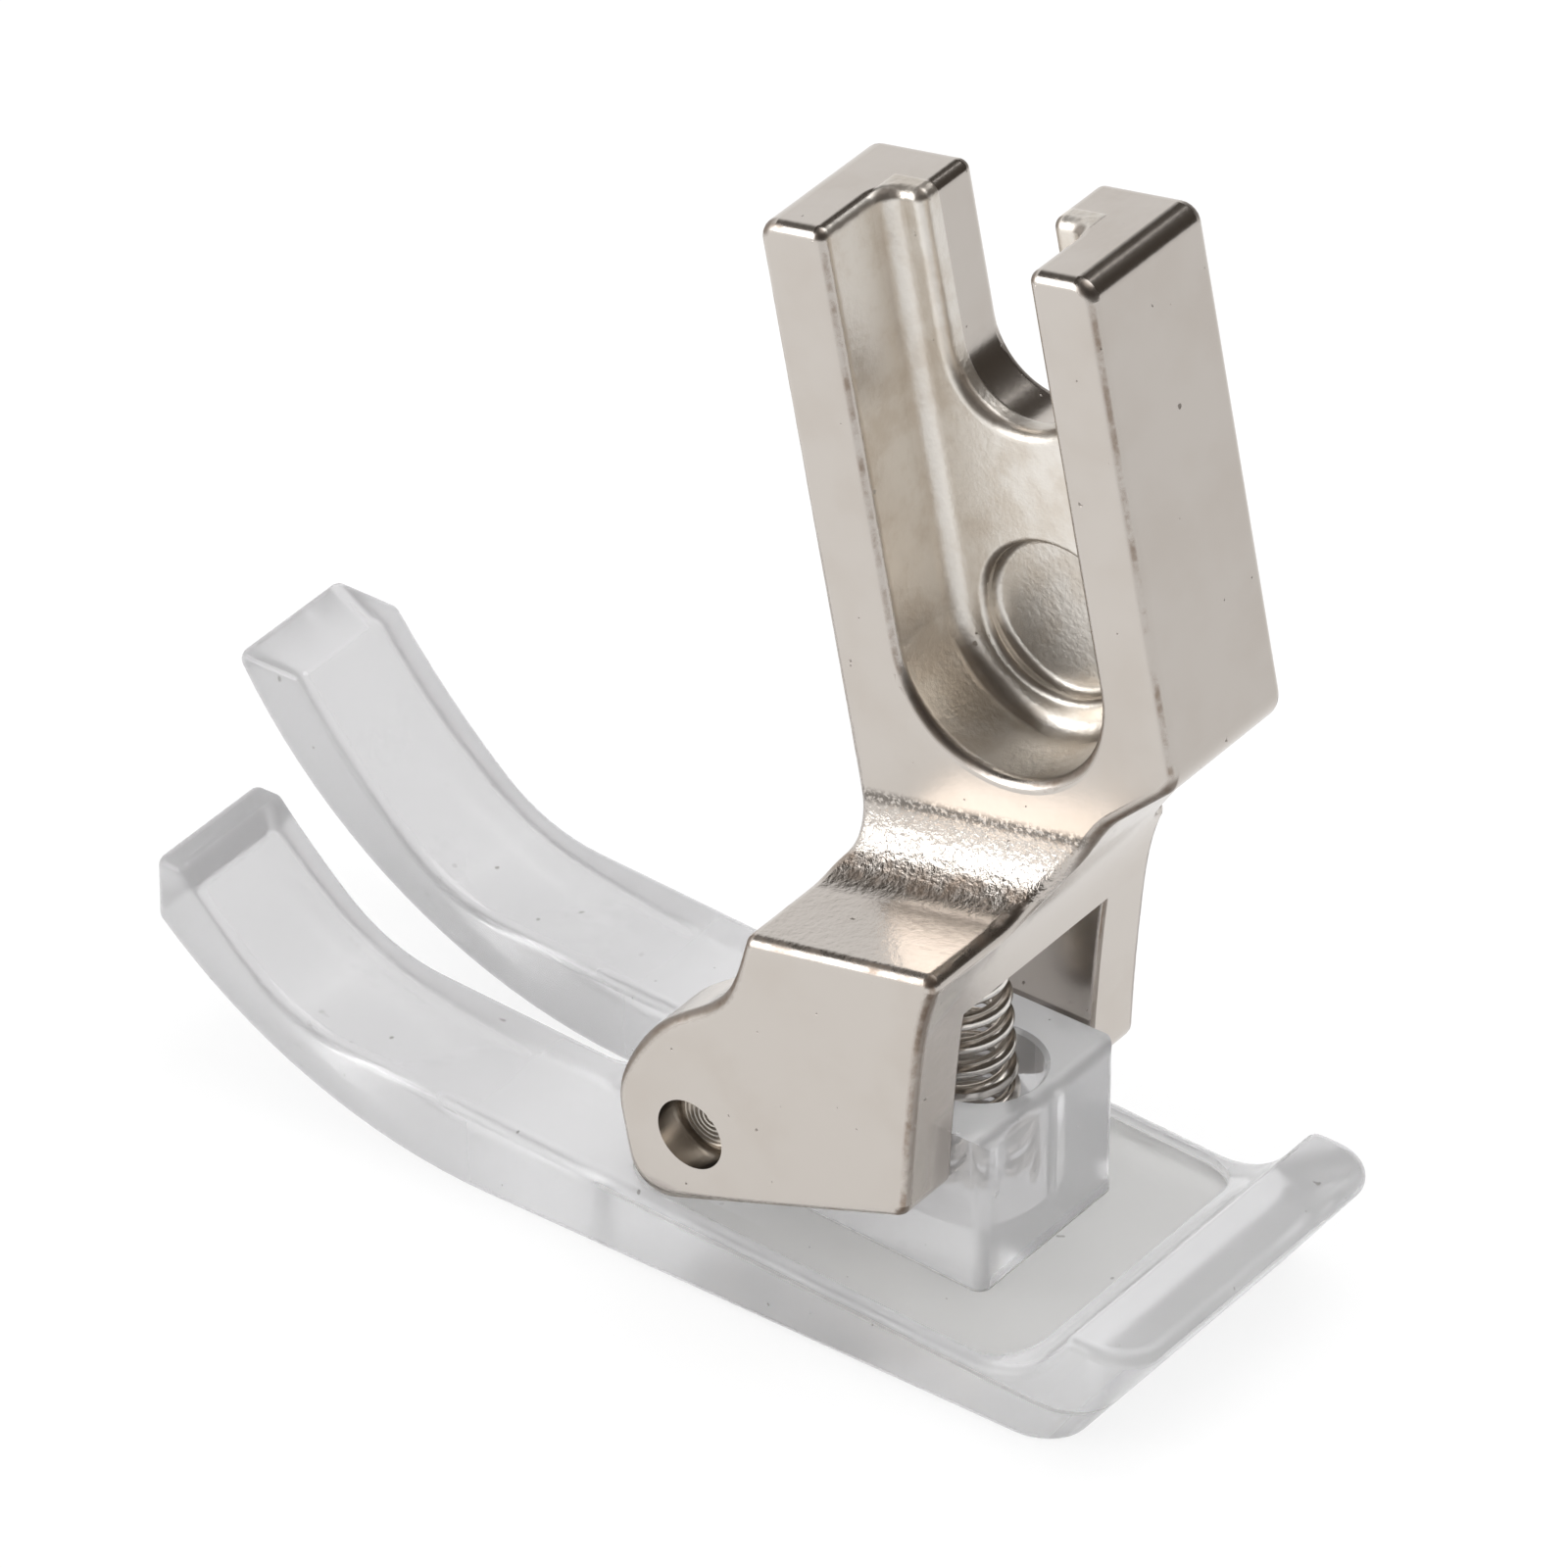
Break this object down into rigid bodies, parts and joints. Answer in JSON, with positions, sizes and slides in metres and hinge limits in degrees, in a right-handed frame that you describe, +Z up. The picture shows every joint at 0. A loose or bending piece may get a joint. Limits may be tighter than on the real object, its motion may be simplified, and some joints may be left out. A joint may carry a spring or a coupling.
{
  "type": "sewing machine presser foot",
  "caption": "High-shank presser foot: plated steel shank with a bar channel and screw slot, hinged by a pin and spring to a clear plastic sole with a lipped heel and needle slot.",
  "frame": {"origin": "on the sole's underside, straight below the hinge pin's axis and midway between the cheeks", "axes": "+Z up from the sole to the shank, -Y towards the toes, +Y towards the lipped heel, +X towards the open side of the shank's channel"},
  "size_m": [0.0116, 0.0355, 0.0329],
  "materials": {
    "plated_steel": "bright nickel plating over a lightly grained casting",
    "clear_plastic": "clear moulded plastic, slightly milky, with a matt sunk floor",
    "pin_steel": "ground steel with turned end faces",
    "spring_steel": "plain drawn spring wire"
  },
  "bodies": {
    "sole": {"sole": "clear_plastic", "spring": "spring_steel"},
    "shank": {"shank": "plated_steel", "hinge_pin": "pin_steel"}
  },
  "joints": [
    {"name": "sole_tilt", "type": "hinge", "parent": "sole", "child": "shank", "pos_m": [0, 0, 0.00476], "axis": [-1, 0, 0], "range_deg": [0, 18], "stiffness_Nm_per_rad": 0.012, "springref_deg": -20.05, "deforming": ["spring"]}
  ]
}
